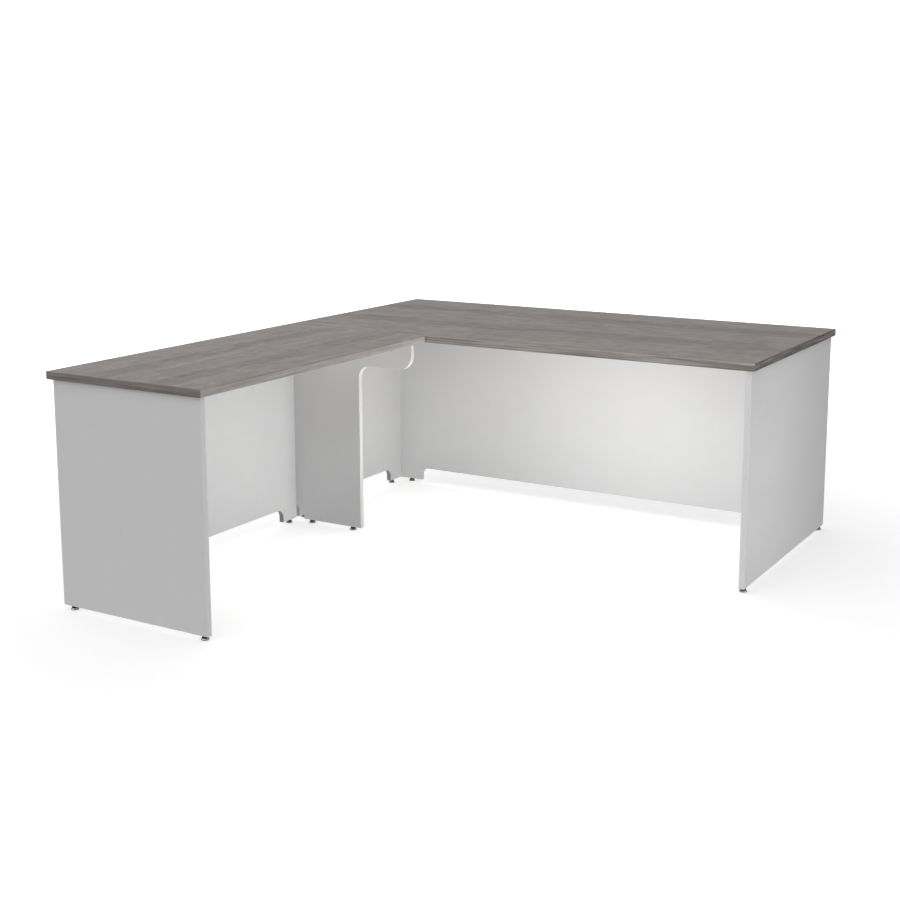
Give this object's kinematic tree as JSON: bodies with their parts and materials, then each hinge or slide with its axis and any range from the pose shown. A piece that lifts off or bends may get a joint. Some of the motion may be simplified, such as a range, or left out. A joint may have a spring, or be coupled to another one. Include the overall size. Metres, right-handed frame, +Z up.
{
  "type": "l-shaped workstation",
  "caption": "L-shaped office desk: wood-grain work tops on white panel gables, recessed modesty panels, a notched corner support and screw-in levelling glides.",
  "frame": {"origin": "on the floor, under the middle of the overall outline", "axes": "+X along the main desk to the right, +Y from the user to the back edge of the main desk, +Z up"},
  "size_m": [1.8288, 2.1336, 0.7574],
  "materials": {
    "top_laminate": "grey-brown wood-grain laminate, matt, grain along the main top",
    "return_laminate": "grey-brown wood-grain laminate, matt",
    "top_edge": "wood-grain edge band",
    "return_edge": "wood-grain edge band",
    "panel_white": "white melamine faced board, fine matt texture",
    "panel_edge": "white edge band",
    "zinc_casting": "die-cast zinc",
    "zinc_steel": "zinc-plated steel",
    "beech": "fluted beech",
    "glide_nickel": "nickel-plated steel",
    "glide_black": "black coated steel"
  },
  "bodies": {
    "desk": {"main_top_board": "top_laminate", "return_top_board": "return_laminate", "main_top_edge_bands": "top_edge", "return_top_edge_bands": "return_edge", "return_end_gable": "panel_white", "main_end_gable": "panel_white", "return_modesty_panel": "panel_white", "main_side_panel": "panel_white", "main_modesty_panel": "panel_white", "corner_support_panel": "panel_white", "return_gable_bands": "panel_edge", "main_gable_bands": "panel_edge", "return_modesty_band": "panel_edge", "main_side_bands": "panel_edge", "main_modesty_band": "panel_edge", "corner_support_bands": "panel_edge", "cam_locks": "zinc_casting", "cam_bolts": "zinc_steel", "dowels": "beech", "top_brackets": "zinc_steel", "bracket_screws": "zinc_steel", "glide_inserts": "zinc_steel"},
    "foot_return_gable_front": {"glide_base_return_gable_front": "glide_nickel"},
    "stem_return_gable_front": {"glide_stem_return_gable_front": "glide_black"},
    "foot_return_gable_back": {"glide_base_return_gable_back": "glide_nickel"},
    "stem_return_gable_back": {"glide_stem_return_gable_back": "glide_black"},
    "foot_main_gable_front": {"glide_base_main_gable_front": "glide_nickel"},
    "stem_main_gable_front": {"glide_stem_main_gable_front": "glide_black"},
    "foot_main_gable_back": {"glide_base_main_gable_back": "glide_nickel"},
    "stem_main_gable_back": {"glide_stem_main_gable_back": "glide_black"},
    "foot_return_modesty_front": {"glide_base_return_modesty_front": "glide_nickel"},
    "stem_return_modesty_front": {"glide_stem_return_modesty_front": "glide_black"},
    "foot_return_modesty_back": {"glide_base_return_modesty_back": "glide_nickel"},
    "stem_return_modesty_back": {"glide_stem_return_modesty_back": "glide_black"},
    "foot_main_side_front": {"glide_base_main_side_front": "glide_nickel"},
    "stem_main_side_front": {"glide_stem_main_side_front": "glide_black"},
    "foot_main_side_back": {"glide_base_main_side_back": "glide_nickel"},
    "stem_main_side_back": {"glide_stem_main_side_back": "glide_black"},
    "foot_main_modesty_left": {"glide_base_main_modesty_left": "glide_nickel"},
    "stem_main_modesty_left": {"glide_stem_main_modesty_left": "glide_black"},
    "foot_main_modesty_right": {"glide_base_main_modesty_right": "glide_nickel"},
    "stem_main_modesty_right": {"glide_stem_main_modesty_right": "glide_black"},
    "foot_corner_support_front": {"glide_base_corner_support_front": "glide_nickel"},
    "stem_corner_support_front": {"glide_stem_corner_support_front": "glide_black"},
    "foot_corner_support_back": {"glide_base_corner_support_back": "glide_nickel"},
    "stem_corner_support_back": {"glide_stem_corner_support_back": "glide_black"}
  },
  "joints": [
    {"name": "level_return_gable_front", "type": "slide", "parent": "desk", "child": "foot_return_gable_front", "axis": [0, 0, -1], "range_m": [0, 0.0125]},
    {"name": "turn_return_gable_front", "type": "hinge", "parent": "foot_return_gable_front", "child": "stem_return_gable_front", "pos_m": [-0.3313, -1.04688, 0.02], "axis": [0, 0, -1], "range_deg": [0, 3600]},
    {"name": "level_return_gable_back", "type": "slide", "parent": "desk", "child": "foot_return_gable_back", "axis": [0, 0, -1], "range_m": [0, 0.0125]},
    {"name": "turn_return_gable_back", "type": "hinge", "parent": "foot_return_gable_back", "child": "stem_return_gable_back", "pos_m": [-0.86, -1.04688, 0.02], "axis": [0, 0, -1], "range_deg": [0, 3600]},
    {"name": "level_main_gable_front", "type": "slide", "parent": "desk", "child": "foot_main_gable_front", "axis": [0, 0, -1], "range_m": [0, 0.0125]},
    {"name": "turn_main_gable_front", "type": "hinge", "parent": "foot_main_gable_front", "child": "stem_main_gable_front", "pos_m": [0.89448, 0.1789, 0.02], "axis": [0, 0, -1], "range_deg": [0, 3600]},
    {"name": "level_main_gable_back", "type": "slide", "parent": "desk", "child": "foot_main_gable_back", "axis": [0, 0, -1], "range_m": [0, 0.0125]},
    {"name": "turn_main_gable_back", "type": "hinge", "parent": "foot_main_gable_back", "child": "stem_main_gable_back", "pos_m": [0.89448, 1.0124, 0.02], "axis": [0, 0, -1], "range_deg": [0, 3600]},
    {"name": "level_return_modesty_front", "type": "slide", "parent": "desk", "child": "foot_return_modesty_front", "axis": [0, 0, -1], "range_m": [0, 0.0125]},
    {"name": "turn_return_modesty_front", "type": "hinge", "parent": "foot_return_modesty_front", "child": "stem_return_modesty_front", "pos_m": [-0.88213, -1.00235, 0.02], "axis": [0, 0, -1], "range_deg": [0, 3600]},
    {"name": "level_return_modesty_back", "type": "slide", "parent": "desk", "child": "foot_return_modesty_back", "axis": [0, 0, -1], "range_m": [0, 0.0125]},
    {"name": "turn_return_modesty_back", "type": "hinge", "parent": "foot_return_modesty_back", "child": "stem_return_modesty_back", "pos_m": [-0.88213, 0.0882, 0.02], "axis": [0, 0, -1], "range_deg": [0, 3600]},
    {"name": "level_main_side_front", "type": "slide", "parent": "desk", "child": "foot_main_side_front", "axis": [0, 0, -1], "range_m": [0, 0.0125]},
    {"name": "turn_main_side_front", "type": "hinge", "parent": "foot_main_side_front", "child": "stem_main_side_front", "pos_m": [-0.88213, 0.18595, 0.02], "axis": [0, 0, -1], "range_deg": [0, 3600]},
    {"name": "level_main_side_back", "type": "slide", "parent": "desk", "child": "foot_main_side_back", "axis": [0, 0, -1], "range_m": [0, 0.0125]},
    {"name": "turn_main_side_back", "type": "hinge", "parent": "foot_main_side_back", "child": "stem_main_side_back", "pos_m": [-0.88213, 0.80735, 0.02], "axis": [0, 0, -1], "range_deg": [0, 3600]},
    {"name": "level_main_modesty_left", "type": "slide", "parent": "desk", "child": "foot_main_modesty_left", "axis": [0, 0, -1], "range_m": [0, 0.0125]},
    {"name": "turn_main_modesty_left", "type": "hinge", "parent": "foot_main_modesty_left", "child": "stem_main_modesty_left", "pos_m": [-0.8239, 0.87782, 0.02], "axis": [0, 0, -1], "range_deg": [0, 3600]},
    {"name": "level_main_modesty_right", "type": "slide", "parent": "desk", "child": "foot_main_modesty_right", "axis": [0, 0, -1], "range_m": [0, 0.0125]},
    {"name": "turn_main_modesty_right", "type": "hinge", "parent": "foot_main_modesty_right", "child": "stem_main_modesty_right", "pos_m": [0.83625, 0.87782, 0.02], "axis": [0, 0, -1], "range_deg": [0, 3600]},
    {"name": "level_corner_support_front", "type": "slide", "parent": "desk", "child": "foot_corner_support_front", "axis": [0, 0, -1], "range_m": [0, 0.0125]},
    {"name": "turn_corner_support_front", "type": "hinge", "parent": "foot_corner_support_front", "child": "stem_corner_support_front", "pos_m": [-0.6152, 0.13273, 0.02], "axis": [0, 0, -1], "range_deg": [0, 3600]},
    {"name": "level_corner_support_back", "type": "slide", "parent": "desk", "child": "foot_corner_support_back", "axis": [0, 0, -1], "range_m": [0, 0.0125]},
    {"name": "turn_corner_support_back", "type": "hinge", "parent": "foot_corner_support_back", "child": "stem_corner_support_back", "pos_m": [-0.8042, 0.13273, 0.02], "axis": [0, 0, -1], "range_deg": [0, 3600]}
  ],
  "couplings": [
    {"joint": "turn_return_gable_front", "follows": "level_return_gable_front", "rad_per_m": 5026.5},
    {"joint": "turn_return_gable_back", "follows": "level_return_gable_back", "rad_per_m": 5026.5},
    {"joint": "turn_main_gable_front", "follows": "level_main_gable_front", "rad_per_m": 5026.5},
    {"joint": "turn_main_gable_back", "follows": "level_main_gable_back", "rad_per_m": 5026.5},
    {"joint": "turn_return_modesty_front", "follows": "level_return_modesty_front", "rad_per_m": 5026.5},
    {"joint": "turn_return_modesty_back", "follows": "level_return_modesty_back", "rad_per_m": 5026.5},
    {"joint": "turn_main_side_front", "follows": "level_main_side_front", "rad_per_m": 5026.5},
    {"joint": "turn_main_side_back", "follows": "level_main_side_back", "rad_per_m": 5026.5},
    {"joint": "turn_main_modesty_left", "follows": "level_main_modesty_left", "rad_per_m": 5026.5},
    {"joint": "turn_main_modesty_right", "follows": "level_main_modesty_right", "rad_per_m": 5026.5},
    {"joint": "turn_corner_support_front", "follows": "level_corner_support_front", "rad_per_m": 5026.5},
    {"joint": "turn_corner_support_back", "follows": "level_corner_support_back", "rad_per_m": 5026.5}
  ]
}
